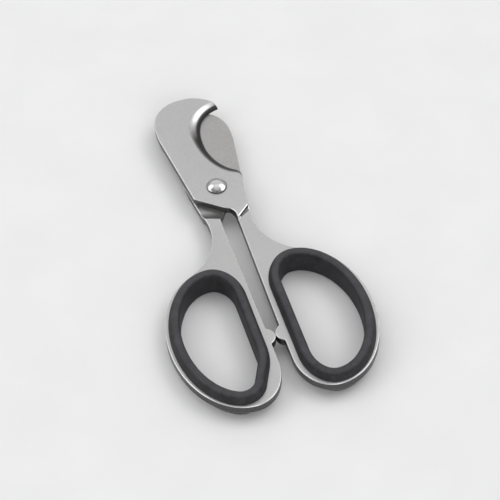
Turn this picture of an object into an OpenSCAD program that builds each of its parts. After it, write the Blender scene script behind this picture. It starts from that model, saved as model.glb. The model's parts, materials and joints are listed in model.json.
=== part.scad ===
// Scissors with crescent blades for cutting a round stick, lying flat with the front blade up.
// Two lapped steel halves turn on one pivot. Each finger loop has a soft liner clipped round its
// rim.
// Units are millimetres. +Y runs towards the blade tips and +Z is up.
// The origin is the middle of the bounding box's bottom face, where the liners rest.

/* [Blades] */
// Distance of the front blade's crown above the pivot
front_crown = 48.3; // [47.5:0.1:49]
// Distance of the rear blade's crown above the pivot
rear_crown = 42.2; // [41:0.1:43]
// Distance of the front blade's widest place above the pivot
front_wide = 33; // [32:0.5:34]
// Distance of the rear blade's widest place above the pivot
rear_wide = 28; // [27:0.5:29]
// Half width of the blade across the pivot
blade_half = 10.29; // [10.15:0.01:10.45]
// Widening of each straight side, in millimetres for each millimetre of length
blade_taper = 0.129; // [0.12:0.001:0.135]
// Thickness of one blade plate
blade_t = 2.75; // [2.4:0.05:3]
// Gap between the two blade plates
blade_gap = 0.06; // [0.04:0.01:0.1]

/* [Crescent notch] */
// Width of the crown that is left above the notch
hook_w = 4.8; // [4.5:0.1:5.2]
// Distance of the notch's lower end above the pivot
notch_low = 3.5; // [3.2:0.1:3.8]
// Distance of the notch's deepest place past the blade's middle line, on the outer face
notch_deep = 2.4; // [2:0.1:2.8]
// Half width of the notch's ellipse
notch_rx = 14.5; // [14:0.1:15]
// Width of the ground bevel at its widest
bevel_w = 4.1; // [3.6:0.1:4.5]
// Height of the upright land under the bevel
land_h = 0.5; // [0.3:0.05:0.8]

/* [Handles] */
// Thickness of the handle
handle_t = 3.5; // [3.2:0.1:3.8]
// Half width of the gap between the shanks at its top
slot_top = 3.1; // [3:0.05:3.2]
// Half width of the gap between the loops
slot_half = 2.45; // [2.3:0.05:2.6]
// Distance of the loops' lower end below the pivot
loop_low = 101.2; // [100.5:0.1:102]
// Half of the width over both loops
loop_side = 37.2; // [36.8:0.1:37.6]
// Radius of each stop bump
bump_r = 3.6; // [3.4:0.1:3.8]
// Distance of the stop bumps below the pivot
bump_low = 73.4; // [72:0.1:75]
// Gap between the closed stop bumps
bump_gap = 0.06; // [0.04:0.01:0.1]

/* [Liners] */
// Height of each liner above and below the handle's middle plane
liner_h = 5.25; // [4.8:0.05:5.6]
// Thickness of each liner, from its lip to the finger hole
liner_w = 4.2; // [4:0.1:4.4]
// Depth of the handle's rim in the liner's groove
tongue = 1; // [0.8:0.1:1.2]

/* [Pivot] */
// Radius of the domed head
head_r = 3.8; // [3.5:0.05:3.9]
// Height of the dome above the front blade
head_rise = 1.3; // [1:0.05:1.5]
// Radius of the post's barrel
barrel_r = 2; // [1.9:0.05:2.1]
// Radial clearance between the barrel and the halves
running_gap = 0.05; // [0.02:0.01:0.08]
// Radius of the screw's shank
screw_r = 1.2; // [1:0.05:1.3]

/* [Hidden] */

steel = [0.71, 0.7, 0.7];
polished_steel = [0.82, 0.82, 0.83];
soft_black = [0.16, 0.16, 0.17];
big = 200;
eps = 0.01;

// The origin is under the middle of the length, and the liners hold the handles up by their height
pivot_y = (loop_low - front_crown) / 2;
mid_z = liner_h;
lap_z = blade_gap / 2;
face_z = lap_z + blade_t;

// Every outline below is drawn from the pivot, for a half whose loop is on the right and whose
// spine is on the left. The rear half is the same kind of half turned over about the Y axis.

// Points along an ellipse-like arc. A power of 2 is an ellipse, and more is squarer.
function arc(cx, cy, rx, ry, from, to, steps, power = 2) =
    [for (i = [0:steps])
        let (a = from + (to - from) * i / steps)
        [cx + rx * sign(cos(a)) * pow(abs(cos(a)), 2 / power),
         cy + ry * sign(sin(a)) * pow(abs(sin(a)), 2 / power)]];

// Half width of the blade's straight sides at a distance above the pivot
function side_at(y) = blade_half + blade_taper * y;

// The straight side turns into the crown along a long arc
turn_r = 45;
turn_angle = atan(blade_taper);
loop_crown_power = 2.06;
spine_crown_power = 2.3;

// Half width of the crown, where the long arc ends
function crown_half(wide) =
    side_at(wide - turn_r * sin(turn_angle)) + turn_r * (1 - cos(turn_angle));

// The blade plate's heel is rounded, and its straight side ends where the loop's shank begins
heel = [-8.55, -2.8];
heel_r = 1.3;
heel_turn = [187, 233];
side_end = -12.3;

// Blade outline with no notch. low_edge is where its lower edge bends, up to its end at the slot.
function blade_points(crown, wide, low_edge) =
    let (half = crown_half(wide))
    concat(
        [[side_at(side_end), side_end]],
        arc(half - turn_r, wide, turn_r, turn_r, -turn_angle, 0, 6),
        arc(0, wide, half, crown - wide, 0, 90, 30, loop_crown_power),
        arc(0, wide, half, crown - wide, 90, 180, 30, spine_crown_power),
        arc(turn_r - half, wide, turn_r, turn_r, 180, 180 + turn_angle, 6),
        arc(heel.x, heel.y, heel_r, heel_r, heel_turn[0], heel_turn[1], 6),
        low_edge
    );

// Handle outline, with the loop filled in. The loop's top arc ends at shank_start, where the hollow
// outer edge of the shank takes over up to the blade's side.
loop_mid = [15, -69.2];
loop_top = -37.2;
corner_y = -85.5;
shank_start = 73;
shank_blend = [30.49, -18.05];
shank_blend_r = 22.43;
shank_turn = [246, 169];
slot_taper_end = -66;
root_fall = 3;
root_inset = 1;
function handle_points(root) =
    concat(
        [root, [slot_top, root.y - root_fall], [slot_half, slot_taper_end]],
        arc(loop_mid.x, corner_y, loop_mid.x - slot_half, loop_low + corner_y, 180, 270, 24),
        arc(loop_mid.x, loop_mid.y, loop_side - loop_mid.x, loop_low + loop_mid.y, 270, 360, 40),
        arc(loop_mid.x, loop_mid.y, loop_side - loop_mid.x, loop_top - loop_mid.y, 0, shank_start,
            32),
        arc(shank_blend.x, shank_blend.y, shank_blend_r, shank_blend_r, shank_turn[0],
            shank_turn[1], 24),
        [[side_at(side_end), side_end], [root.x + root_inset, side_end]]
    );

// The loop's opening as a chain of arcs: centre, radii, first and last angle, and number of steps
open_mid = 15.5;
open_in = 4.5;
open_out = 36;
open_top = -38.7;
open_low = -100.4;
upper_in_y = -53.2;
lower_in_y = -85.4;
in_rx = open_mid - open_in;
out_rx = open_out - open_mid;
lower_out_ry = loop_mid.y - open_low;
upper_in = [open_mid, upper_in_y, in_rx, open_top - upper_in_y, 90, 180, 14];
upper_out = [open_mid, loop_mid.y, out_rx, open_top - loop_mid.y, 0, 90, 22];
FRONT_OPENING = [
    upper_in,
    [open_mid, lower_in_y, in_rx, lower_in_y - open_low, 180, 270, 14],
    [open_mid, loop_mid.y, out_rx, lower_out_ry, 270, 360, 22],
    upper_out
];
// The rear loop has a stout web of steel in its lower corner. Two arcs cut its opening off there:
// a wide one above the web and a tight one round it, which meet at web_turn[0].
web_wide_r = 22;
web_wide_y = -78.5;
web_tight_r = 9;
web_tight = [17.77, -90.84];
web_turn = [204, 295.6];
web_end = 287.5;
REAR_OPENING = [
    upper_in,
    [open_in + web_wide_r, web_wide_y, web_wide_r, web_wide_r, 180, web_turn[0], 6],
    [web_tight.x, web_tight.y, web_tight_r, web_tight_r, web_turn[0], web_turn[1], 14],
    [open_mid, loop_mid.y, out_rx, lower_out_ry, web_end, 360, 18],
    upper_out
];

// Every point of a chain with the direction out of the opening there, and no point twice
function chain_stations(chain) =
    let (all = [for (s = chain) for (i = [0:s[6]])
            let (a = s[4] + (s[5] - s[4]) * i / s[6],
                 n = [s[3] * cos(a), s[2] * sin(a)])
            [[s[0] + s[2] * cos(a), s[1] + s[3] * sin(a)], n / norm(n)]])
    [for (i = [0:len(all) - 1])
        if (norm(all[i][0] - all[(i + 1) % len(all)][0]) > 0.1) all[i]];

// An opening's outline, moved in by inset
function opening_points(chain, inset) =
    [for (s = chain_stations(chain)) s[0] - inset * s[1]];

module part_frame() {
    translate([0, pivot_y, mid_z]) children();
}

module turned_over() {
    rotate([0, 180, 0]) children();
}

// Joins rings of points, one above the other, into one solid
module loft(rings) {
    n = len(rings[0]);
    top = len(rings) - 1;
    polyhedron(
        points = [for (ring = rings) each ring],
        faces = concat(
            [[for (i = [0:n - 1]) i], [for (i = [n - 1:-1:0]) top * n + i]],
            [for (k = [0:top - 1]) for (i = [0:n - 1]) for (second = [false, true])
                let (a = k * n + i, b = k * n + (i + 1) % n)
                second ? [a, b + n, b] : [a, a + n, b + n]]
        )
    );
}

// The notch's outline on the outer face, where level is 0, and at the cutting edge, where it is 1.
// Its lower end turns into the blade's side round a corner that runs a hair past the side.
notch_shift = 0.5;
notch_mid = [0.62, 0.52];
notch_power = [2.08, 2.43];
bevel_high = 0.52;
bevel_low = 0.54;
corner_from = [8.6, 9.4];
corner_past = 0.04;
function notch_points(crown, level) =
    let (top = crown - hook_w - level * bevel_w * bevel_high,
         low = notch_low + level * bevel_w * bevel_low,
         mid = notch_low + notch_mid[level] * (crown - hook_w - notch_low),
         rx = notch_rx - level * notch_shift,
         cx = notch_rx - notch_deep + level * (bevel_w - notch_shift),
         u = (corner_from[level] - cx) / rx,
         x = corner_from[level],
         y = mid - (mid - low) * sqrt(1 - u * u),
         slope = (mid - low) * u / (rx * sqrt(1 - u * u)),
         n = [-slope, 1] / norm([-slope, 1]),
         side = norm([1, blade_taper]),
         r = (side_at(y) + corner_past - x) / (side - n.x + blade_taper * n.y),
         c = [x, y] - r * n)
    concat(
        [[blade_half * 4, top]],
        arc(cx, mid, rx, top - mid, 90, 180, 32, notch_power[level]),
        arc(cx, mid, rx, mid - low, 180, 360 - acos(u), 32),
        arc(c.x, c.y, r, r, atan2(n.y, n.x), -turn_angle, 8),
        [[blade_half * 4, c.y - r * sin(turn_angle) - blade_half]]
    );

function at_height(points, z) = [for (p = points) [p.x, p.y, z]];

// The bevel is convex. It leaves the face gently and falls more and more steeply to the land.
bevel_steps = [1, 0.95, 0.85, 0.65, 0.35, 0];
function bevel_fall(across) = 1 - pow(1 - pow(across, 1.5), 0.6);

module notch_cutter(crown) {
    outer = notch_points(crown, 0);
    edge = notch_points(crown, 1);
    fall = face_z - lap_z - land_h;
    loft(concat(
        [at_height(edge, -handle_t)],
        [for (b = bevel_steps)
            at_height((1 - b) * outer + b * edge, face_z - bevel_fall(b) * fall)],
        [at_height(outer, face_z + 1)]
    ));
}

// Clears the other half's blade: a flat lap that a grinding wheel runs out of in a hollow
lap_turn = 18.7;
lap_end = 15.4;
lap_foot = 10.9;
module lap_cutter() {
    rise = handle_t / 2 + lap_z;
    run = lap_end - lap_foot;
    wheel_r = (run * run + rise * rise) / (2 * rise);
    rotate([0, 0, lap_turn]) {
        translate([-big / 2, -lap_foot, -big]) cube([big, big, big + lap_z]);
        translate([-big / 2, -lap_foot, lap_z - wheel_r]) rotate([0, 90, 0])
            cylinder(r = wheel_r, h = big, $fn = 180);
    }
}

// Ends the raised plate on the shank in a hollow step, steep on top, whose foot fans out towards
// the side
step_line = [[11.2, -10.2], [2.7, -17.27]];
step_foot = [2.6, 0.08];
module step_cutter() {
    along = step_line[1] - step_line[0];
    out = [-along.y, along.x] / norm(along);
    low = handle_t / 2;
    high = face_z + 1;
    loft([for (k = [0, 1])
        let (section = concat(
            [for (a = [0:10:90]) [step_foot[k] * (1 - cos(a)), face_z - (face_z - low) * sin(a)]],
            [[loop_side, low], [loop_side, high], [0, high]]))
        [for (s = section) let (p = step_line[k] + s.x * out) [p.x, p.y, s.y]]
    ]);
}

// Rounds the stop bump's two roots into the edge of the slot
root_r = 0.8;
root_overlap = 0.5;
module bump_roots() {
    bump_x = bump_r + bump_gap / 2;
    reach = sqrt(pow(bump_r + root_r, 2) - pow(bump_x - slot_half + root_r, 2));
    for (side = [-1, 1])
        difference() {
            translate([slot_half - root_r, -bump_low + (side < 0 ? -reach : 0)])
                square([root_r + root_overlap, reach]);
            translate([slot_half - root_r, -bump_low + side * reach]) circle(root_r, $fn = 40);
        }
}

// One forging: the raised blade plate over the lap, and the thinner handle beside it
step_reach = 4.9;
module half(crown, wide, low_edge, opening) {
    root = low_edge[len(low_edge) - 1];
    difference() {
        union() {
            difference() {
                translate([0, 0, lap_z]) linear_extrude(blade_t) {
                    polygon(blade_points(crown, wide, low_edge));
                    intersection() {
                        polygon(handle_points(root));
                        translate([0, side_end - step_reach])
                            square([2 * blade_half, step_reach]);
                    }
                }
                step_cutter();
            }
            difference() {
                translate([0, 0, -handle_t / 2]) linear_extrude(handle_t) {
                    polygon(blade_points(crown, wide, low_edge));
                    difference() {
                        union() {
                            polygon(handle_points(root));
                            translate([bump_r + bump_gap / 2, -bump_low])
                                circle(bump_r, $fn = 96);
                            bump_roots();
                        }
                        polygon(opening_points(opening, tongue));
                    }
                }
                lap_cutter();
            }
        }
        notch_cutter(crown);
        translate([0, 0, -big / 2]) cylinder(r = barrel_r + running_gap, h = big, $fn = 96);
    }
}

// The rear plate's lower edge meets the slot at a corner, and the front plate's in a round root
bend_x = -0.2;
rear_bend_y = -9.7;
front_bend_y = -11.2;
slot_root_y = -15.2;
front_root_x = 0.9;
front_root_size = [2.15, 3.4];
front_root_power = 1.6;
rear_low_edge = [[bend_x, rear_bend_y], [slot_top, slot_root_y]];
front_low_edge = concat(
    [[bend_x, front_bend_y]],
    arc(front_root_x, slot_root_y, front_root_size.x, front_root_size.y, 90, 0, 8,
        front_root_power)
);

module rear_blade_and_handle() {
    color(steel) part_frame() turned_over()
        half(rear_crown, rear_wide, rear_low_edge, REAR_OPENING);
}

module front_blade_and_handle() {
    color(steel) part_frame()
        half(front_crown, front_wide, front_low_edge, FRONT_OPENING);
}

// The liner's section, as distance in from its lip and height over the handle's middle plane
crest_in = 2;
crest_out = 3.1;
function liner_profile() =
    let (lip = handle_t / 2,
         upper = [
            [0, lip], [0.05, lip + 0.6], [0.5, liner_h - 1.5], [1.15, liner_h - 0.45],
            [crest_in, liner_h], [crest_out, liner_h],
            [liner_w - 0.45, liner_h - 0.35], [liner_w - 0.05, liner_h - 1.2]])
    concat(
        upper,
        [for (i = [len(upper) - 1:-1:0]) [upper[i][0], -upper[i][1]]],
        [[tongue, -lip], [tongue, lip]]
    );

// Sweeps the liner's section round an opening
module liner(opening) {
    stations = chain_stations(opening);
    profile = liner_profile();
    n = len(stations);
    m = len(profile);
    polyhedron(
        points = [for (s = stations) for (p = profile)
            let (q = s[0] - p[0] * s[1]) [q.x, q.y, p[1]]],
        faces = [for (i = [0:n - 1]) for (j = [0:m - 1]) for (second = [false, true])
            let (a = i * m + j,
                 b = i * m + (j + 1) % m,
                 c = ((i + 1) % n) * m + (j + 1) % m,
                 d = ((i + 1) % n) * m + j)
            second ? [a, c, d] : [a, b, c]]
    );
}

module rear_grip_liner() {
    color(soft_black) part_frame() turned_over() liner(REAR_OPENING);
}

module front_grip_liner() {
    color(soft_black) part_frame() liner(FRONT_OPENING);
}

head_gap = 0.04;
head_rim = 0.4;
thread_gap = 0.02;
washer_t = 0.35;
washer_rise = 0.25;
washer_inner = barrel_r + 0.15;
screw_head_r = head_r - 0.3;
screw_foot_r = screw_head_r - 0.6;
washer_outer = screw_head_r - 0.1;
screw_head_h = 1.1;
screw_chamfer = 0.5;
bore_end = 1.2;
screw_end = 1.5;
slot_w = 0.9;
slot_h = 0.55;

// Domed head over a barrel that is bored for the screw
module pivot_post() {
    dome_r = (head_r * head_r + head_rise * head_rise) / (2 * head_rise);
    seat = face_z + head_gap;
    top = head_rise + head_rim;
    color(polished_steel) part_frame() difference() {
        union() {
            translate([0, 0, seat]) intersection() {
                cylinder(r = head_r, h = top, $fn = 96);
                translate([0, 0, top - dome_r]) sphere(dome_r, $fn = 96);
            }
            translate([0, 0, -face_z]) cylinder(r = barrel_r, h = face_z + seat + eps, $fn = 96);
        }
        translate([0, 0, -face_z - eps])
            cylinder(r = screw_r + thread_gap, h = 2 * face_z - bore_end, $fn = 96);
    }
}

// Dished washer between the rear blade and the screw's head
module spring_washer() {
    color(polished_steel) part_frame() translate([0, 0, -face_z - washer_t - washer_rise])
        rotate_extrude($fn = 96) polygon([
            [washer_inner, 0], [washer_outer, washer_rise],
            [washer_outer, washer_rise + washer_t], [washer_inner, washer_t]]);
}

// Slotted screw that closes the barrel from behind
module pivot_screw() {
    seat = -face_z - washer_t - washer_rise;
    low = seat - screw_head_h;
    color(polished_steel) part_frame() difference() {
        union() {
            translate([0, 0, low])
                cylinder(r1 = screw_foot_r, r2 = screw_head_r, h = screw_chamfer, $fn = 96);
            translate([0, 0, low + screw_chamfer])
                cylinder(r = screw_head_r, h = screw_head_h - screw_chamfer, $fn = 96);
            translate([0, 0, seat - eps])
                cylinder(r = screw_r, h = face_z - screw_end - seat, $fn = 96);
        }
        translate([-big / 2, -slot_w / 2, low - eps]) cube([big, slot_w, slot_h + eps]);
    }
}

rear_blade_and_handle();
front_blade_and_handle();
rear_grip_liner();
front_grip_liner();
pivot_post();
spring_washer();
pivot_screw();
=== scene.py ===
"""Scissors with crescent blades, lying flat.

Every Blender object is in metres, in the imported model's frame.
"""

import json
import math

import bmesh
import bpy
import numpy as np
from mathutils import Matrix, Vector
from mathutils.geometry import delaunay_2d_cdt


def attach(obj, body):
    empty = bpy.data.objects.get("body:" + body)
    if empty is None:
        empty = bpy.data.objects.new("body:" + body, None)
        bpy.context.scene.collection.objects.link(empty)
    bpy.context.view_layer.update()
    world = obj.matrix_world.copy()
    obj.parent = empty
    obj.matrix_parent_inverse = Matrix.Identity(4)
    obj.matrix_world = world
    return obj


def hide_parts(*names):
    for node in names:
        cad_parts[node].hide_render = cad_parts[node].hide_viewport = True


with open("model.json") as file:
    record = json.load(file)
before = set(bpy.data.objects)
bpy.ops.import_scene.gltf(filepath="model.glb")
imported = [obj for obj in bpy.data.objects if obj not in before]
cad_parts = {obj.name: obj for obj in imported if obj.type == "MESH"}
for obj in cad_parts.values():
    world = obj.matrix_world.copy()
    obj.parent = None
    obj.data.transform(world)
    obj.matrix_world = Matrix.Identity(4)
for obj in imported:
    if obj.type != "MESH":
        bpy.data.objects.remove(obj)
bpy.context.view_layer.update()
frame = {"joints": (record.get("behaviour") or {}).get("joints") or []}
scene = bpy.context.scene

# ---------------------------------------------------------------- sizes
PIVOT = Vector(frame["joints"][0]["pos_m"])
MM = 0.001

# The sizes in this section are in millimetres from the pivot, for a half with its loop to the
# right. That is the front half. The rear half is turned over when it is finished.

# Heights over the middle plane: the lap, the blade's face, the handle's face and the notch's land
LAP_Z, FACE_Z, HANDLE_Z = 0.03, 2.78, 1.75
LAND_TOP = LAP_Z + 0.5

# The blade's straight sides, the arc that turns them into the crown, and the crown
BLADE_HALF, TAPER, SIDE_END = 10.29, 0.129, -12.3
TURN_R, TURN = 45.0, math.degrees(math.atan(TAPER))
FRONT_CROWN, FRONT_WIDE, REAR_CROWN, REAR_WIDE = 48.3, 33.0, 42.2, 28.0
LOOP_CROWN_POWER, SPINE_CROWN_POWER = 2.06, 2.3

# The crescent notch. The pairs are for its outline on the face and for its cutting edge.
HOOK_W, NOTCH_LOW, NOTCH_DEEP, NOTCH_RX, NOTCH_SHIFT = 4.8, 3.5, 2.4, 14.5, 0.5
NOTCH_MID, NOTCH_POWER, CORNER_FROM = (0.62, 0.52), (2.08, 2.43), (8.6, 9.4)
BEVEL_W, BEVEL_HIGH, BEVEL_LOW, BEVEL_ROWS = 4.1, 0.52, 0.54, 16

# The plate's heel and its lower edge
HEEL_X, HEEL_Y, HEEL_R, HEEL_TURN = -8.55, -2.8, 1.3, (187, 233)
BEND_X, FRONT_BEND_Y, REAR_BEND_Y, ROOT_Y = -0.2, -11.2, -9.7, -15.2
FRONT_ROOT_X, FRONT_ROOT_RX, FRONT_ROOT_RY, FRONT_ROOT_POWER = 0.9, 2.15, 3.4, 1.6
REAR_ROOT = (3.0, -15.03)

# The slot with its stop bump, the loop, and the hollow outer edge of the shank
SLOT_TOP, SLOT_HALF, ROOT_FALL, TAPER_END = 3.1, 2.45, 3, -66
BUMP_R, BUMP_LOW, BUMP_GAP, BUMP_ROOT_R = 3.6, 73.4, 0.06, 0.8
LOOP_LOW, LOOP_SIDE, LOOP_X, LOOP_Y, LOOP_TOP, CORNER_Y = 101.2, 37.2, 15.0, -69.2, -37.2, -85.5
SHANK_START, SHANK_X, SHANK_Y, SHANK_R, SHANK_TURN = 73, 30.49, -18.05, 22.43, (245.6, 169)

# The finger holes as chains of arcs: centre, radii, first and last angle, and number of steps.
# The rear hole's lower corner is cut off by a web of steel.
HOLE_START = (15.5, -53.2, 11, 14.5, 90, 180, 40)
HOLE_END = (15.5, -69.2, 20.5, 30.5, 0, 90, 60)
FRONT_HOLE = [HOLE_START, (15.5, -85.4, 11, 15, 180, 270, 40),
              (15.5, -69.2, 20.5, 31.2, 270, 360, 60), HOLE_END]
REAR_HOLE = [HOLE_START, (26.5, -78.5, 22, 22, 180, 204, 14), (17.77, -90.84, 9, 9, 204, 295.6, 40),
             (15.5, -69.2, 20.5, 31.2, 287.5, 360, 50), HOLE_END]

# The liner: how deep the rim sits in it, its height over the middle plane, and its width
TONGUE, LINER_H, LINER_W = 1.0, 5.25, 4.2

# The lap's turned axis, and the hollow that a grinding wheel leaves at its end
LAP_TURN, LAP_END, LAP_FOOT = math.radians(18.7), 15.4, 10.9
LAP_RISE, LAP_RUN = HANDLE_Z + LAP_Z, LAP_END - LAP_FOOT
WHEEL_R = (LAP_RUN * LAP_RUN + LAP_RISE * LAP_RISE) / (2 * LAP_RISE)

# The hollow step on the shank: its line, the width of its foot at both ends, and its chamfer
STEP_LINE = np.array([[11.2, -10.2], [2.7, -17.27]])
STEP_FOOT, LEAST_FOOT = (2.6, 0.3), 0.08
CHAMFER_W, CHAMFER_H = 0.4, 0.15
STEP_LEN = float(np.linalg.norm(STEP_LINE[1] - STEP_LINE[0]))
STEP_ALONG = (STEP_LINE[1] - STEP_LINE[0]) / STEP_LEN
STEP_OUT = np.array([-STEP_ALONG[1], STEP_ALONG[0]])

# The pivot's post, washer and screw
BORE_R, HEAD_R, HEAD_RISE, HEAD_GAP, HEAD_RIM = 2.05, 3.8, 1.3, 0.04, 0.4
BARREL_R, THREAD_R, THREAD_END = 2.0, 1.22, 1.2
WASHER_T, WASHER_RISE, WASHER_OUTER, WASHER_INNER = 0.35, 0.25, HEAD_R - 0.4, 2.15
SCREW_HEAD_R, SCREW_HEAD_H, SCREW_R, SCREW_END = HEAD_R - 0.3, 1.1, 1.2, 1.5
SCREW_SLOT_HALF, SCREW_SLOT_DEEP, SCREW_SLOT_SLOPE = 0.45, 0.55, 0.04

# How much the edges are rounded: most of them, those on the lap, the cutting edge, and the screw's
EDGE_ROUND, LAP_ROUND, CUTTING_ROUND, SCREW_ROUND = 0.3, 0.08, 0.06, (0.06, 0.45)
ROUND_ANGLES = np.radians([0, 22.5, 45, 67.5, 90])

# Edges are sharp from this angle between their faces
SHARP_FROM = math.radians(30)

# Material slots of a forged half, and of the post
FACE, WALL, BEVEL, LAP, EDGE = range(5)
POST_RIM = 1


def arc(cx, cy, rx, ry, start, end, steps, power=2.0):
    """Points along an ellipse-like arc. A power of 2 is an ellipse."""
    a = np.radians(np.linspace(start, end, steps + 1))
    c, s = np.cos(a), np.sin(a)
    return np.column_stack([cx + rx * np.sign(c) * abs(c) ** (2 / power),
                            cy + ry * np.sign(s) * abs(s) ** (2 / power)])


def circle(r, steps):
    return arc(0, 0, r, r, 0, 360, steps)[:-1]


def hole_outline(rear):
    """The finger hole's outline as points and outward normals, with no point twice."""
    same_point = 0.1
    points, normals = [], []
    for cx, cy, rx, ry, start, end, steps in REAR_HOLE if rear else FRONT_HOLE:
        for a in np.radians(np.linspace(start, end, steps + 1)):
            n = Vector((ry * math.cos(a), rx * math.sin(a))).normalized()
            points.append((cx + rx * math.cos(a), cy + ry * math.sin(a)))
            normals.append(tuple(n))
    points, normals = np.array(points), np.array(normals)
    keep = np.linalg.norm(points - np.roll(points, -1, 0), axis=1) > same_point
    return points[keep], normals[keep]


def side_at(y):
    """Half width of the blade's straight sides."""
    return BLADE_HALF + TAPER * y


def crown_half(wide):
    """Half width of the crown, where the long arc from the straight side ends."""
    turn = math.radians(TURN)
    return side_at(wide - TURN_R * math.sin(turn)) + TURN_R * (1 - math.cos(turn))


def crown_x(y, wide, crown):
    """Where the crown's loop side is at a height."""
    up = (y - wide) / (crown - wide)
    return crown_half(wide) * (1 - up ** LOOP_CROWN_POWER) ** (1 / LOOP_CROWN_POWER)


def notch(crown, wide, level):
    """The crescent on the face, at level 0, or its cutting edge, at level 1.

    It runs from the blade's side, round the corner, to the deepest place and on to the tip.
    """
    top = crown - HOOK_W - level * BEVEL_W * BEVEL_HIGH
    low = NOTCH_LOW + level * BEVEL_W * BEVEL_LOW
    mid = NOTCH_LOW + NOTCH_MID[level] * (crown - HOOK_W - NOTCH_LOW)
    rx = NOTCH_RX - level * NOTCH_SHIFT
    cx = NOTCH_RX - NOTCH_DEEP + level * (BEVEL_W - NOTCH_SHIFT)
    x = CORNER_FROM[level]
    u = (x - cx) / rx
    root = math.sqrt(1 - u * u)
    y = mid - (mid - low) * root
    n = np.array([-(mid - low) * u / (rx * root), 1.0])
    n /= np.linalg.norm(n)
    r = (side_at(y) - x) / (math.hypot(1, TAPER) - n[0] + TAPER * n[1])
    c = np.array([x, y]) - r * n
    corner = arc(c[0], c[1], r, r, -TURN, math.degrees(math.atan2(n[1], n[0])), 10)
    lower = arc(cx, mid, rx, mid - low, 360 - math.degrees(math.acos(u)), 180, 40)
    past, tip = 90.0, 180.0
    for _ in range(40):
        a = (past + tip) / 2
        p = arc(cx, mid, rx, top - mid, a, a, 0, NOTCH_POWER[level])[0]
        past, tip = (a, tip) if p[0] > crown_x(p[1], wide, crown) else (past, a)
    upper = arc(cx, mid, rx, top - mid, 180, past, 48, NOTCH_POWER[level])
    return np.vstack([corner, lower[1:], upper[1:]])


def lap_y(p):
    """Distance along the lap's own axis, which is turned from the blade's."""
    return -math.sin(LAP_TURN) * p[0] + math.cos(LAP_TURN) * p[1]


def hollow_z(d):
    """Height of the hollow at a distance past the lap's foot."""
    return LAP_Z - WHEEL_R + math.sqrt(WHEEL_R * WHEEL_R - d * d)


def low_z(p):
    """Height of a half's underside: the flat lap, the hollow that ends it, and the handle."""
    d = -LAP_FOOT - lap_y(p)
    if d <= 0:
        return LAP_Z
    return -HANDLE_Z if d >= LAP_RUN else hollow_z(d)


def high_z(p):
    """Height of a half's outer face: the blade plate, the hollow step, and the handle."""
    q = np.array(p) - STEP_LINE[0]
    t, s = float(q @ STEP_ALONG) / STEP_LEN, float(q @ STEP_OUT)
    width = max(STEP_FOOT[0] + (STEP_FOOT[1] - STEP_FOOT[0]) * t, LEAST_FOOT)
    if s <= 0:
        return FACE_Z
    if s >= width:
        return HANDLE_Z
    return FACE_Z - (FACE_Z - HANDLE_Z) * math.sin(math.acos(1 - s / width))


# ---------------------------------------------------------------- flat parts with rounded edges
class Column:
    """One place on an outline: where its top and bottom are, and how much each edge is rounded."""

    def __init__(self, top, low=None, round_top=EDGE_ROUND, round_low=EDGE_ROUND, on_notch=False):
        self.top = np.array(top, float)
        self.low = np.array(top if low is None else low, float)
        self.round_top, self.round_low, self.on_notch = round_top, round_low, on_notch
        self.high_z = self.low_z = None


def cut_in(columns, line, top, z):
    """Adds the columns where a straight line crosses the outline, and returns them."""
    near_enough, parallel = 0.05, 1e-12
    a, b = np.array(line[0], float), np.array(line[1], float)
    d, found = b - a, []
    i = 0
    while i < len(columns):
        p, q = columns[i], columns[(i + 1) % len(columns)]
        e = q.top - p.top
        cross = d[0] * e[1] - d[1] * e[0]
        if not p.on_notch and not q.on_notch and abs(cross) > parallel:
            w = p.top - a
            t = (w[0] * e[1] - w[1] * e[0]) / cross
            u = (w[0] * d[1] - w[1] * d[0]) / cross
            if 0 <= t <= 1 and 0 <= u < 1:
                length = np.linalg.norm(e)
                near = [c for c, gap in ((p, u * length), (q, (1 - u) * length))
                        if gap < near_enough and (c.high_z if top else c.low_z) is None]
                if near:
                    new = near[0]
                else:
                    new = Column(p.top + u * e, None, p.round_top + u * (q.round_top - p.round_top),
                                 p.round_low + u * (q.round_low - p.round_low))
                    columns.insert(i + 1, new)
                    i += 1
                if top:
                    new.high_z = z
                else:
                    new.low_z = z
                found.append((t, new))
        i += 1
    return [c for _, c in sorted(found, key=lambda f: f[0])]


def cut_creases(columns, lines, top, steps):
    """Cuts creases into an outline, each given as a line and its height."""
    creases = []
    for line, z in lines:
        found = cut_in(columns, line, top, z)
        creases.append((found[0], found[-1], z, steps))
    return creases


def inset(points, distances):
    """The outline moved in at each point by its own distance."""
    least_cosine, longest_miter = 0.3, 1.6
    before = points - np.roll(points, 1, 0)
    after = np.roll(points, -1, 0) - points
    before /= np.linalg.norm(before, axis=1)[:, None]
    after /= np.linalg.norm(after, axis=1)[:, None]
    t = before + after
    t /= np.linalg.norm(t, axis=1)[:, None]
    miter = np.minimum(1 / np.maximum((t * after).sum(1), least_cosine), longest_miter)
    return points + np.column_stack([-t[:, 1], t[:, 0]]) * (distances * miter)[:, None]


def inside(points, polygon):
    """Which of the points are inside a polygon."""
    x, y = points[:, 0][:, None], points[:, 1][:, None]
    x0, y0 = polygon[:, 0], polygon[:, 1]
    x1, y1 = np.roll(x0, -1), np.roll(y0, -1)
    with np.errstate(divide="ignore", invalid="ignore"):
        hit = ((y0 > y) != (y1 > y)) & (x < (x1 - x0) * (y - y0) / (y1 - y0) + x0)
    return hit.sum(1) % 2 == 1


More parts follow.
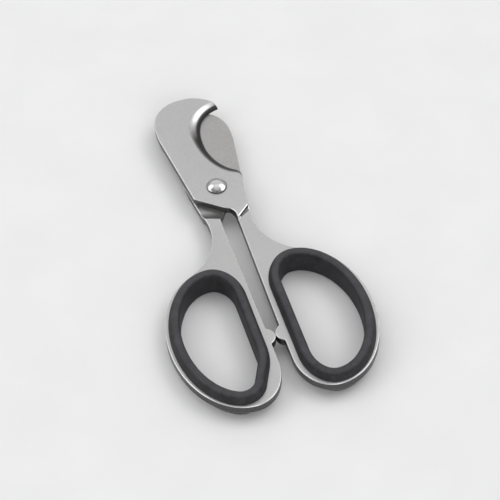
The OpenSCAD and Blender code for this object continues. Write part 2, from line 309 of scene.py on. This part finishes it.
def fill(boundary, boundary_z, holes, rows, height):
    """Triangles over a flat outline with holes and creases: their corners, and their triples."""
    same_point = 1e-5
    points, zs, edges = [], [], []

    def add_loop(loop, z):
        start = len(points)
        points.extend(map(tuple, loop))
        zs.extend(z)
        edges.extend((start + i, start + (i + 1) % len(loop)) for i in range(len(loop)))

    add_loop(boundary, boundary_z)
    for hole in holes:
        add_loop(hole, [height(p) for p in hole])
    for first, last, z, steps in rows:
        crease = [first]
        for k in range(1, steps):
            crease.append(len(points))
            points.append(tuple(boundary[first] + (boundary[last] - boundary[first]) * k / steps))
            zs.append(z)
        crease.append(last)
        edges.extend(zip(crease, crease[1:]))
    verts, _, faces, origin, _, _ = delaunay_2d_cdt(
        [Vector(p) for p in points], edges, [], 0, same_point, True)
    xy = np.array([tuple(v) for v in verts])
    z = [zs[o[0]] if o else height(p) for o, p in zip(origin, xy)]
    tri = np.array([tuple(f) for f in faces])
    middle = xy[tri].mean(1)
    keep = inside(middle, boundary)
    for hole in holes:
        keep &= ~inside(middle, hole)
    return np.column_stack([xy, z]), tri[keep]


def bevel_line(face, land):
    """One section of the convex bevel, which falls more and more steeply to the land."""
    spacing, shoulder, foot = 0.8, 1.5, 0.6
    across = np.linspace(0, 1, BEVEL_ROWS + 1) ** spacing
    fall = 1 - (1 - across ** shoulder) ** foot
    points = np.empty((BEVEL_ROWS + 1, 3))
    points[:, :2] = face[:2] + np.outer(across, land[:2] - face[:2])
    points[:, 2] = face[2] + fall * (land[2] - face[2])
    return points


def plate(columns, holes, top_creases, low_creases, top_height, low_height, land_top, slots):
    """Builds a flat part from its outline. slots gives each kind of face its material.

    A crease is the columns at its two ends, its height and its number of steps.
    """
    same_point, weld, least_edge = 1e-3, 0.0015, 0.0005
    bm = bmesh.new()

    def face(points, kind):
        unique = []
        for p in points:
            if not any(np.linalg.norm(p - q) < same_point for q in unique):
                unique.append(p)
        if len(unique) > 2:
            made = bm.faces.new([bm.verts.new(p) for p in unique])
            made.material_index = kind
            made.smooth = True

    n = len(columns)
    order = {id(c): i for i, c in enumerate(columns)}
    rims = {}
    for side, height, creases in ((1, top_height, top_creases), (-1, low_height, low_creases)):
        points = np.array([c.top if side > 0 else c.low for c in columns])
        radius = np.array([c.round_top if side > 0 else c.round_low for c in columns])
        set_z = [c.high_z if side > 0 else c.low_z for c in columns]
        base = np.array([height(p) if z is None else z for p, z in zip(points, set_z)])
        rings = []
        for a in ROUND_ANGLES:
            ring = inset(points, radius * (1 - math.cos(a)))
            rings.append(np.column_stack([ring, base - side * radius * (1 - math.sin(a))]))
        for outer, inner in zip(rings, rings[1:]):
            for i in range(n):
                j = (i + 1) % n
                if radius[i] > 0 or radius[j] > 0:
                    face([outer[i], outer[j], inner[j], inner[i]], slots["edge"])
        rows = [(order[id(a)], order[id(b)], z, steps) for a, b, z, steps in creases]
        corner, tri = fill(rings[-1][:, :2], rings[-1][:, 2], holes, rows, height)
        kind = slots["top" if side > 0 else "low"]
        for t in tri:
            face(list(corner[t]), kind(corner[t].mean(0)) if callable(kind) else kind)
        rims[side] = rings[0]
        if side > 0:
            for hole in holes:
                upper = [np.append(p, top_height(p)) for p in hole]
                lower = [np.append(p, low_height(p)) for p in hole]
                for i in range(len(hole)):
                    j = (i + 1) % len(hole)
                    face([upper[i], upper[j], lower[j], lower[i]], slots["wall"])
    bevels = [bevel_line(rims[1][i], np.append(c.low, land_top)) if c.on_notch else None
              for i, c in enumerate(columns)]
    for i in range(n):
        j = (i + 1) % n
        a, b = bevels[i], bevels[j]
        if a is not None and b is not None:
            for k in range(BEVEL_ROWS):
                face([a[k], b[k], b[k + 1], a[k + 1]], slots["bevel"])
            face([a[-1], b[-1], rims[-1][j], rims[-1][i]], slots["land"])
        else:
            ring = [rims[1][i], rims[1][j]]
            if b is not None:
                ring += list(b[1:])
            ring += [rims[-1][j], rims[-1][i]]
            if a is not None:
                ring += list(a[:0:-1])
            face(ring, slots["wall"])
    bmesh.ops.remove_doubles(bm, verts=bm.verts, dist=weld)
    bmesh.ops.dissolve_degenerate(bm, edges=bm.edges, dist=least_edge)
    bmesh.ops.recalc_face_normals(bm, faces=bm.faces)
    return bm


# ---------------------------------------------------------------- the two forged halves
def handle_edge():
    """The outline down the slot, round the stop bump and the loop, and up to the blade's side."""
    bump_x = BUMP_R + BUMP_GAP / 2
    past = bump_x - SLOT_HALF + BUMP_ROOT_R
    reach = math.sqrt((BUMP_R + BUMP_ROOT_R) ** 2 - past ** 2)
    tilt = math.degrees(math.atan2(reach, past))
    root_x = SLOT_HALF - BUMP_ROOT_R
    return np.vstack([
        [(SLOT_TOP, ROOT_Y - ROOT_FALL), (SLOT_HALF, TAPER_END)],
        arc(root_x, -BUMP_LOW + reach, BUMP_ROOT_R, BUMP_ROOT_R, 0, -tilt, 6),
        arc(bump_x, -BUMP_LOW, BUMP_R, BUMP_R, 180 - tilt, 180 + tilt, 30)[1:-1],
        arc(root_x, -BUMP_LOW - reach, BUMP_ROOT_R, BUMP_ROOT_R, tilt, 0, 6),
        arc(LOOP_X, CORNER_Y, LOOP_X - SLOT_HALF, LOOP_LOW + CORNER_Y, 180, 270, 48),
        arc(LOOP_X, LOOP_Y, LOOP_SIDE - LOOP_X, LOOP_LOW + LOOP_Y, 270, 360, 80)[1:],
        arc(LOOP_X, LOOP_Y, LOOP_SIDE - LOOP_X, LOOP_TOP - LOOP_Y, 0, SHANK_START, 60)[1:],
        arc(SHANK_X, SHANK_Y, SHANK_R, SHANK_R, *SHANK_TURN, 44)])


def half_columns(rear):
    """A half's outline: up the blade's side, round the notch and the crown, down the spine to
    the heel and along the lower edge, and then round the handle.
    """
    side_stops, notch_clear, tip_clear = (-8.0, -4.0), 0.9, 0.35
    crown, wide = (REAR_CROWN, REAR_WIDE) if rear else (FRONT_CROWN, FRONT_WIDE)
    half = crown_half(wide)
    if rear:
        low_edge = np.array([(BEND_X, REAR_BEND_Y), REAR_ROOT, (SLOT_TOP, ROOT_Y)])
    else:
        low_edge = np.vstack([[(BEND_X, FRONT_BEND_Y)],
                              arc(FRONT_ROOT_X, ROOT_Y, FRONT_ROOT_RX, FRONT_ROOT_RY, 90, 0, 14,
                                  FRONT_ROOT_POWER)])
    face, edge = notch(crown, wide, 0), notch(crown, wide, 1)
    columns = [Column((side_at(y), y)) for y in (SIDE_END, *side_stops, face[0][1] - notch_clear)]
    columns += [Column(f, e, 0.0, CUTTING_ROUND, True) for f, e in zip(face, edge)]
    crown_arc = np.vstack([
        arc(0, wide, half, crown - wide, 0, 90, 60, LOOP_CROWN_POWER),
        arc(0, wide, half, crown - wide, 90, 180, 60, SPINE_CROWN_POWER)[1:]])
    crown_arc = [p for p in crown_arc if p[0] < face[-1][0] - tip_clear]
    spine = arc(TURN_R - half, wide, TURN_R, TURN_R, 180, 180 + TURN, 8)[1:]
    heel = arc(HEEL_X, HEEL_Y, HEEL_R, HEEL_R, *HEEL_TURN, 10)
    columns += [Column(p, round_low=LAP_ROUND) for p in [*crown_arc, *spine, *heel, *low_edge]]
    columns += [Column(p) for p in handle_edge()]
    return columns


def step_creases():
    """The chamfer along the step, and lines along its hollow, each with its height."""
    lines = [((-CHAMFER_W, -CHAMFER_W), FACE_Z), ((0.0, 0.0), FACE_Z - CHAMFER_H)]
    for a in np.radians((25, 50, 70, 90)):
        lines.append(([w * (1 - math.cos(a)) for w in STEP_FOOT],
                      FACE_Z - (FACE_Z - HANDLE_Z) * math.sin(a)))
    return [([STEP_LINE[k] + STEP_OUT * out[k] for k in (0, 1)], z) for out, z in lines]


def hollow_creases():
    """Lines across the half, along the hollow that ends the lap, each with its height."""
    spine_reach, loop_reach = 20, 12
    across = np.array([math.cos(LAP_TURN), math.sin(LAP_TURN)])
    up = np.array([-math.sin(LAP_TURN), math.cos(LAP_TURN)])
    lines = []
    for d in np.linspace(0, LAP_RUN, 9):
        middle = up * (-LAP_FOOT - d)
        lines.append(([middle - across * spine_reach, middle + across * loop_reach], hollow_z(d)))
    return lines


def top_paint(p):
    """The step's wall takes the steel with painted shade, and its top edge and inner end take the
    polished steel with a painted highlight.
    """
    inner_end, margin = 1.7, 0.01
    if not HANDLE_Z + margin < p[2] < FACE_Z - margin:
        return FACE
    near = np.linalg.norm(p[:2] - STEP_LINE[1]) < inner_end
    return EDGE if p[2] > FACE_Z - CHAMFER_H or near else WALL


def low_paint(p):
    return LAP if lap_y(p) > -LAP_END else FACE


def build_half(rear):
    """One forging, with the same shape numbers as its CAD node and finely rounded edges."""
    columns = half_columns(rear)
    top_creases = cut_creases(columns, step_creases(), True, 10)
    low_creases = cut_creases(columns, hollow_creases(), False, 6)
    opening, normals = hole_outline(rear)
    holes = [opening - TONGUE * normals, circle(BORE_R, 96)]
    slots = {"top": top_paint, "low": low_paint, "edge": EDGE, "wall": WALL, "bevel": BEVEL,
             "land": BEVEL}
    return plate(columns, holes, top_creases, low_creases, high_z, low_z, LAND_TOP, slots)


# ---------------------------------------------------------------- liners and pivot
def build_liner(rear):
    """The soft ring that grips the rim of a finger hole."""
    lip, h, w = HANDLE_Z, LINER_H, LINER_W
    # Each point of the section is a distance in from the hole's outline, and a height
    upper = [(0.0, lip), (0.02, lip + 0.3), (0.1, lip + 0.8), (0.27, lip + 1.3), (0.5, h - 1.5),
             (0.78, h - 1.0), (1.15, h - 0.5), (1.55, h - 0.2), (2.0, h - 0.04), (2.55, h),
             (3.05, h - 0.06), (3.5, h - 0.25), (3.85, h - 0.6), (4.07, h - 1.1),
             (w - 0.03, h - 1.8), (w, h - 3.2)]
    profile = upper + [(d, -z) for d, z in reversed(upper)] + [(TONGUE, -lip), (TONGUE, lip)]
    bm = bmesh.new()
    rings = [[bm.verts.new((*(p - d * n), z)) for d, z in profile]
             for p, n in zip(*hole_outline(rear))]
    for a, b in zip(rings, rings[1:] + rings[:1]):
        for k in range(len(profile)):
            j = (k + 1) % len(profile)
            bm.faces.new([a[k], a[j], b[j], b[k]]).smooth = True
    bmesh.ops.recalc_face_normals(bm, faces=bm.faces)
    return bm


def lathe(bm, profile, steps):
    """Turns a closed profile of (radius, height) points about the pivot."""
    on_axis = 1e-6
    rings = []
    for r, z in profile:
        if r < on_axis:
            rings.append([bm.verts.new((0, 0, z))])
        else:
            rings.append([bm.verts.new((r * math.cos(2 * math.pi * k / steps),
                                        r * math.sin(2 * math.pi * k / steps), z))
                          for k in range(steps)])
    for a, b in zip(rings, rings[1:] + rings[:1]):
        for k in range(steps):
            j = (k + 1) % steps
            ring = [a[k % len(a)], a[j % len(a)], b[j % len(b)], b[k % len(b)]]
            ring = [v for i, v in enumerate(ring) if v not in ring[:i]]
            if len(ring) > 2:
                bm.faces.new(ring).smooth = True


def rounded(points, radius):
    """A profile with its corners rounded by arcs of a parabola, except those on the axis."""
    on_axis, least_round, most_of_side, steps = 1e-6, 1e-3, 0.45, 3
    out = []
    for i, p in enumerate(points):
        p = np.array(p, float)
        a = np.array(points[i - 1], float) - p
        b = np.array(points[(i + 1) % len(points)], float) - p
        r = min(radius, np.linalg.norm(a) * most_of_side, np.linalg.norm(b) * most_of_side)
        if p[0] < on_axis or r < least_round:
            out.append(tuple(p))
            continue
        a, b = p + a / np.linalg.norm(a) * r, p + b / np.linalg.norm(b) * r
        for t in np.linspace(0, 1, steps + 1):
            out.append(tuple(a * (1 - t) ** 2 + p * 2 * t * (1 - t) + b * t * t))
    return out


def build_post():
    """Domed head and barrel. The head's rim takes the steel painted dark, a painted shade round the
    dome's foot.
    """
    dome_end, chamfer, head_chamfer, margin = HEAD_R - 0.1, 0.1, 0.05, 0.05
    seat = FACE_Z + HEAD_GAP
    rim = seat + HEAD_RIM
    ball = (HEAD_R ** 2 + HEAD_RISE ** 2) / (2 * HEAD_RISE)
    centre = seat + HEAD_RISE + HEAD_RIM - ball
    dome = [(ball * math.sin(a), centre + ball * math.cos(a))
            for a in np.linspace(0, math.asin(dome_end / ball), 22)]
    edge = [(HEAD_R - 0.03, rim - 0.015), (HEAD_R, rim - 0.08), (HEAD_R, seat + head_chamfer),
            (HEAD_R - head_chamfer, seat)]
    barrel = [(BARREL_R, seat), (BARREL_R, -FACE_Z + chamfer), (BARREL_R - chamfer, -FACE_Z),
              (THREAD_R, -FACE_Z), (THREAD_R, FACE_Z - THREAD_END), (0.0, FACE_Z - THREAD_END)]
    bm = bmesh.new()
    lathe(bm, dome + edge + barrel, 128)
    # The rim's faces get the painted shade
    for face in bm.faces:
        middle = face.calc_center_median()
        if middle.z < rim + margin and math.hypot(middle.x, middle.y) > dome_end:
            face.material_index = POST_RIM
    bmesh.ops.recalc_face_normals(bm, faces=bm.faces)
    return bm


def build_washer():
    """Dished spring washer under the screw's head."""
    low = -FACE_Z - WASHER_T - WASHER_RISE
    high = low + WASHER_RISE
    profile = [(WASHER_INNER, low), (WASHER_OUTER, high), (WASHER_OUTER, high + WASHER_T),
               (WASHER_INNER, low + WASHER_T)]
    bm = bmesh.new()
    lathe(bm, rounded(profile, 0.1), 128)
    bmesh.ops.recalc_face_normals(bm, faces=bm.faces)
    return bm


def build_screw():
    """Slotted screw that closes the pivot from behind."""
    seat = -FACE_Z - WASHER_T - WASHER_RISE
    low, shaft_foot, shaft_end = seat - SCREW_HEAD_H, seat - 0.2, FACE_Z - SCREW_END
    slot_floor, past_head = low + SCREW_SLOT_DEEP, 2 * SCREW_HEAD_R
    columns = [Column(p, None, *SCREW_ROUND) for p in circle(SCREW_HEAD_R, 96)]
    lip, foot = SCREW_SLOT_HALF, SCREW_SLOT_HALF - SCREW_SLOT_SLOPE
    lines = [([(-past_head, y), (past_head, y)], z)
             for y, z in ((-lip, low), (-foot, slot_floor), (foot, slot_floor), (lip, low))]
    low_creases = cut_creases(columns, lines, False, 6)

    def low_height(p):
        return slot_floor if abs(p[1]) < (lip + foot) / 2 else low

    slots = dict.fromkeys(("top", "low", "edge", "wall"), 0)
    bm = plate(columns, [], [], low_creases, lambda p: seat, low_height, 0, slots)
    shaft = [(0.0, shaft_foot), (SCREW_R, shaft_foot), (SCREW_R, shaft_end), (0.0, shaft_end)]
    lathe(bm, rounded(shaft, 0.15), 64)
    bmesh.ops.recalc_face_normals(bm, faces=bm.faces)
    return bm


# ---------------------------------------------------------------- materials
def set_stops(ramp, stops):
    """Sets a colour ramp's stops, each a place and a colour or a grey."""
    for k, (place, color) in enumerate(stops):
        stop = ramp.elements[k] if k < 2 else ramp.elements.new(place)
        stop.position = place
        stop.color = (*color, 1) if hasattr(color, "__len__") else (color, color, color, 1)


class Paint:
    """A material whose nodes are wired by short calls.

    Places are in metres in the piece's own frame.
    """

    def __init__(self, name, metallic):
        self.material = bpy.data.materials.new(name)
        self.material.use_nodes = True
        self.tree = self.material.node_tree
        self.shader = self.tree.nodes["Principled BSDF"]
        self.shader.inputs["Metallic"].default_value = metallic
        self.place = self.node("ShaderNodeTexCoord").outputs["Object"]

    def node(self, kind, **settings):
        made = self.tree.nodes.new(kind)
        for key, value in settings.items():
            setattr(made, key, value)
        return made

    def join(self, source, socket):
        if isinstance(source, bpy.types.NodeSocket):
            self.tree.links.new(source, socket)
        else:
            socket.default_value = source

    def math(self, operation, a, b=0.0):
        made = self.node("ShaderNodeMath", operation=operation)
        for source, socket in zip((a, b), made.inputs):
            self.join(source, socket)
        return made.outputs[0]

    def blend(self, a, share, b):
        """A sum of two values, where the first has a share and the second has the rest."""
        return self.math("ADD", self.math("MULTIPLY", a, share),
                         self.math("MULTIPLY", b, 1 - share))

    def clamp(self, source, high):
        return self.math("MINIMUM", self.math("MAXIMUM", source, 0.0), high)

    def stretched(self, scale, turn=0.0):
        made = self.node("ShaderNodeMapping")
        self.join(self.place, made.inputs["Vector"])
        made.inputs["Rotation"].default_value = (0, 0, turn)
        made.inputs["Scale"].default_value = scale
        return made.outputs[0]

    def noise(self, scale, detail, rough=0.5, place=None):
        made = self.node("ShaderNodeTexNoise")
        self.join(place or self.place, made.inputs["Vector"])
        made.inputs["Scale"].default_value = scale
        made.inputs["Detail"].default_value = detail
        made.inputs["Roughness"].default_value = rough
        return made.outputs["Fac"]

    def lines(self, scale, turn=0.0):
        """Grinding lines: a noise that is stretched along one way."""
        return self.noise(1.0, 2, 0.55, self.stretched(scale, turn))

    def ramp(self, value, *stops):
        made = self.node("ShaderNodeValToRGB")
        self.join(value, made.inputs["Fac"])
        set_stops(made.color_ramp, stops)
        return made.outputs["Color"]

    def mix(self, share, a, b):
        """A mix of two colours: the first where the share is 0, the second where it is 1."""
        made = self.node("ShaderNodeMix", data_type="RGBA")
        self.join(share, made.inputs["Factor"])
        first, second = [i for i in made.inputs if i.type == "RGBA"]
        self.join(a, first)
        self.join(b, second)
        return next(o for o in made.outputs if o.type == "RGBA")

    def axes(self):
        made = self.node("ShaderNodeSeparateXYZ")
        self.join(self.place, made.inputs[0])
        return made.outputs

    def height(self, full):
        """Distance from the middle plane, above or below, as a share of a full height in mm."""
        distance = self.math("ABSOLUTE", self.math("SUBTRACT", self.axes()["Z"], PIVOT.z))
        return self.math("MULTIPLY", distance, 1 / (full * MM))

    def color(self, source):
        self.join(source, self.shader.inputs["Base Color"])

    def roughness(self, source, low, high):
        made = self.node("ShaderNodeMapRange")
        self.join(source, made.inputs["Value"])
        made.inputs["To Min"].default_value, made.inputs["To Max"].default_value = low, high
        made.inputs["From Min"].default_value, made.inputs["From Max"].default_value = 0.3, 0.7
        self.join(made.outputs[0], self.shader.inputs["Roughness"])

    def bump(self, source, height, strength):
        made = self.node("ShaderNodeBump")
        made.inputs["Distance"].default_value = height
        made.inputs["Strength"].default_value = strength
        self.join(source, made.inputs["Height"])
        self.join(made.outputs[0], self.shader.inputs["Normal"])


def steel(name, dark, light, smooth, rough, grain, lines=None, turn=0.0):
    """Steel with a fine grain, a slow change of tone, and grinding lines where it has them."""
    p = Paint(name, 1.0)
    tone = p.blend(p.noise(60, 2), 0.4, p.noise(1300, 2))
    p.color(p.ramp(tone, (0.36, dark), (0.62, light)))
    fine = p.noise(grain, 2, 0.6)
    if lines:
        fine = p.blend(p.lines(lines, turn), 0.75, fine)
    p.roughness(p.blend(fine, 0.8, p.noise(160, 2)), smooth, rough)
    p.bump(fine, 0.02 * MM, 0.22)
    return p.material


def bevel_with_painted_reflection(name):
    """Ground steel that is polished below the face, with a painted dark reflection down towards the
    cutting edge.

    The painted dark part is wider at the low end of the notch than at its tip.
    """
    tip_end, change, waver = 37 * MM, 11 * MM, 0.012
    p = Paint(name, 1.0)
    below = p.math("MULTIPLY", p.math("SUBTRACT", PIVOT.y + tip_end, p.axes()["Y"]), 1 / change)
    lines = p.lines((2400, 2400, 9000))
    height = p.math("ADD", p.height(FACE_Z),
                    p.math("MULTIPLY", p.math("SUBTRACT", lines, 0.5), waver))
    # Painted reflection: the colour by height, dark down to the cutting edge; the second ramp, for
    # the notch's low end, is painted dark further up
    upper = p.ramp(height, (0.2, 0.045), (0.55, 0.09), (0.66, 0.16), (0.73, 0.58), (0.86, 0.72),
                   (0.94, 0.66), (1.0, 0.54))
    lower = p.ramp(height, (0.2, 0.04), (0.8, 0.07), (0.90, 0.10), (0.955, 0.22), (0.985, 0.42),
                   (1.0, 0.54))
    p.color(p.mix(p.clamp(below, 1.0), upper, lower))
    p.roughness(p.blend(lines, 0.5, p.noise(2400, 2)), 0.24, 0.34)
    p.bump(lines, 0.01 * MM, 0.15)
    return p.material


def rubber(name):
    """Black rubber with a painted sheen along its crest, where its slopes are painted darker."""
    crest, slope_end, painted_slope_shade = 0.04, 0.12, 2.6
    p = Paint(name, 0.0)
    slope = p.math("SUBTRACT", 1.0, p.height(LINER_H))
    slope = p.clamp(p.math("SUBTRACT", slope, crest), slope_end)
    mottle = p.blend(p.noise(260, 4, 0.6), 0.6, p.noise(1500, 2))
    # Painted sheen: paler along the crest, painted shade down the slopes
    p.color(p.ramp(p.math("SUBTRACT", mottle, p.math("MULTIPLY", slope, painted_slope_shade)),
                   (0.0, (0.014, 0.014, 0.015)), (0.34, (0.042, 0.041, 0.045)),
                   (0.66, (0.074, 0.072, 0.079))))
    p.roughness(mottle, 0.60, 0.74)
    p.bump(p.math("ADD", p.noise(2600, 2, 0.5), p.math("MULTIPLY", p.noise(500, 3), 0.8)),
           0.06 * MM, 0.5)
    p.shader.inputs["Specular IOR Level"].default_value = 0.28
    return p.material


face_steel = steel("satin_steel", (0.53, 0.525, 0.525), (0.575, 0.57, 0.57), 0.38, 0.44, 2600)
# The side walls, the step's wall and the post's rim: steel painted dark, a painted shade and dark
# reflection
wall_steel_painted_shade = steel("side_steel_painted_shade", (0.085, 0.085, 0.087), (0.125, 0.125, 0.127), 0.30, 0.40, 2200,
                   (60, 60, 5200))
# The notch's bevel: polished steel with a painted dark reflection along the cutting edge
bevel_steel_painted_reflection = bevel_with_painted_reflection("ground_bevel_painted_reflection")
lap_steel = steel("ground_lap", (0.42, 0.415, 0.412), (0.49, 0.48, 0.475), 0.34, 0.42, 2000,
                  (4200, 160, 160), -LAP_TURN)
# The rounded edges: polished steel, painted much paler than the faces as a painted highlight
edge_steel_painted_highlight = steel("polished_edge_painted_highlight", (0.74, 0.74, 0.74), (0.80, 0.795, 0.79), 0.24, 0.32, 2200)
chrome = steel("polished_steel", (0.63, 0.63, 0.635), (0.68, 0.68, 0.68), 0.11, 0.15, 1200)
washer_steel = steel("washer_steel", (0.45, 0.45, 0.455), (0.55, 0.55, 0.555), 0.28, 0.38, 2200)
liner_rubber = rubber("soft_rubber_painted_sheen")
HALF_STEEL = [face_steel, wall_steel_painted_shade, bevel_steel_painted_reflection, lap_steel, edge_steel_painted_highlight]


# ---------------------------------------------------------------- pieces
def finish_piece(bm, name, materials, body, node, rear=False):
    """Turns a mesh drawn from the pivot in millimetres into a piece in the frame."""
    turn = Matrix.Rotation(math.pi, 4, "Y") if rear else Matrix.Identity(4)
    bm.transform(Matrix.Translation(PIVOT) @ Matrix.Scale(MM, 4) @ turn)
    mesh = bpy.data.meshes.new(name)
    bm.to_mesh(mesh)
    bm.free()
    for m in materials:
        mesh.materials.append(m)
    mesh.shade_smooth()
    mesh.set_sharp_from_angle(angle=SHARP_FROM)
    obj = bpy.data.objects.new(name, mesh)
    scene.collection.objects.link(obj)
    weighted = obj.modifiers.new("face normals", "WEIGHTED_NORMAL")
    weighted.keep_sharp = True
    weighted.mode = "FACE_AREA"
    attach(obj, body)
    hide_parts(node)


finish_piece(build_half(True), "rear_half_steel", HALF_STEEL, "rear_half", "rear_blade_and_handle",
             rear=True)
finish_piece(build_half(False), "front_half_steel", HALF_STEEL, "front_half",
             "front_blade_and_handle")
finish_piece(build_liner(True), "rear_liner", [liner_rubber], "rear_half", "rear_grip_liner",
             rear=True)
finish_piece(build_liner(False), "front_liner", [liner_rubber], "front_half", "front_grip_liner")
finish_piece(build_post(), "domed_post", [chrome, wall_steel_painted_shade], "rear_half", "pivot_post")
finish_piece(build_washer(), "dished_washer", [washer_steel], "rear_half", "spring_washer")
finish_piece(build_screw(), "slotted_screw", [chrome], "rear_half", "pivot_screw")

# ---------------------------------------------------------------- camera
# ANCHOR is a point on the scissors, and ANCHOR_SEEN is the same point from the camera
LENS_MM, SENSOR_MM = 152.28, 36.0
ELEVATION, AZIMUTH, ROLL = math.radians(48.65), math.radians(-14), math.radians(-3.67)
ANCHOR, ANCHOR_SEEN = Vector((0.45, 26.45, 8.03)) * MM, Vector((-11.89, 23.74, -783.3)) * MM


def place_camera():
    level = math.cos(ELEVATION)
    back = Vector((math.sin(AZIMUTH) * level, -math.cos(AZIMUTH) * level, math.sin(ELEVATION)))
    right = Vector((math.cos(AZIMUTH), math.sin(AZIMUTH), 0))
    up = back.cross(right)
    right, up = (right * math.cos(ROLL) + up * math.sin(ROLL),
                 up * math.cos(ROLL) - right * math.sin(ROLL))
    turn = Matrix((right, up, back)).transposed()
    data = bpy.data.cameras.new("camera")
    data.lens, data.sensor_width = LENS_MM, SENSOR_MM
    data.clip_start, data.clip_end = 0.01, 20
    camera = bpy.data.objects.new("camera", data)
    camera.matrix_world = Matrix.Translation(ANCHOR - turn @ ANCHOR_SEEN) @ turn.to_4x4()
    scene.collection.objects.link(camera)
    scene.camera = camera


# ---------------------------------------------------------------- floor and light
# The room's light: how steeply a way looks up, from 0 to 1, and the light from there
ROOM = [(0.0, 0.24), (0.15, 0.36), (0.45, 0.48), (0.7, 0.40), (0.95, 0.26)]

# The soft panels: the way to each, the angles of its bright core and of its rim, and its light.
# One of them takes light away.
PANELS = [
    ((0.16, 0.66, 0.74), 14, 42, 0.40),
    ((0.10, 0.98, 0.18), 8, 24, 0.10),
    ((0.04, 0.14, 0.99), 12, 30, 0.45),
    ((0.60, 0.20, 0.77), 8, 21, 2.20),
    ((0.60, -0.20, 0.77), 6, 17, 1.60),
    ((-0.13, -0.52, 0.85), 3, 11, -0.30),
    ((-0.50, 0.48, 0.72), 8, 21, 1.50),
    ((0.00, -0.92, 0.40), 8, 24, 2.40),
    ((-0.86, 0.05, 0.50), 8, 26, 1.30),
]


def build_floor():
    half_width = 1.5
    bm = bmesh.new()
    bmesh.ops.create_grid(bm, x_segments=1, y_segments=1, size=half_width)
    mesh = bpy.data.meshes.new("floor")
    bm.to_mesh(mesh)
    bm.free()
    p = Paint("floor_paper", 0.0)
    p.color(p.ramp(p.noise(35, 3), (0.3, (0.83, 0.83, 0.835)), (0.7, (0.86, 0.86, 0.865))))
    p.shader.inputs["Roughness"].default_value = 0.85
    p.shader.inputs["Specular IOR Level"].default_value = 0.2
    mesh.materials.append(p.material)
    floor = bpy.data.objects.new("floor", mesh)
    scene.collection.objects.link(floor)


def fill_light(name, place, aim, size, power):
    """A soft box that lights the floor and the rubber, and is not mirrored in the steel."""
    data = bpy.data.lights.new(name, "AREA")
    data.shape, data.size, data.size_y, data.energy = "RECTANGLE", size[0], size[1], power
    lamp = bpy.data.objects.new(name, data)
    place, aim = Vector(place), Vector(aim)
    lamp.location = place
    lamp.rotation_euler = (aim - place).to_track_quat("-Z", "Y").to_euler()
    lamp.visible_glossy = False
    scene.collection.objects.link(lamp)


def build_world():
    """A dim room with soft panels."""
    world = bpy.data.worlds.new("studio")
    world.use_nodes = True
    nodes, links = world.node_tree.nodes, world.node_tree.links
    way = nodes.new("ShaderNodeTexCoord").outputs["Generated"]
    split = nodes.new("ShaderNodeSeparateXYZ")
    links.new(way, split.inputs[0])
    room = nodes.new("ShaderNodeValToRGB")
    links.new(split.outputs["Z"], room.inputs["Fac"])
    set_stops(room.color_ramp, ROOM)
    total = room.outputs["Color"]
    for aim, core, rim, light in PANELS:
        dot = nodes.new("ShaderNodeVectorMath")
        dot.operation = "DOT_PRODUCT"
        links.new(way, dot.inputs[0])
        dot.inputs[1].default_value = Vector(aim).normalized()
        panel = nodes.new("ShaderNodeMapRange")
        panel.interpolation_type = "SMOOTHSTEP"
        links.new(dot.outputs["Value"], panel.inputs["Value"])
        panel.inputs["From Min"].default_value = math.cos(math.radians(rim))
        panel.inputs["From Max"].default_value = math.cos(math.radians(core))
        panel.inputs["To Min"].default_value, panel.inputs["To Max"].default_value = 0.0, light
        add = nodes.new("ShaderNodeMath")
        links.new(total, add.inputs[0])
        links.new(panel.outputs[0], add.inputs[1])
        total = add.outputs[0]
    links.new(total, nodes["Background"].inputs["Strength"])
    nodes["Background"].inputs["Color"].default_value = (1, 1, 1, 1)
    scene.world = world


place_camera()
build_floor()
fill_light("top_box", (0.1, 0.35, 1.2), (0, 0, 0), (0.9, 0.9), 1.3)
build_world()
scene.view_settings.view_transform = "Standard"
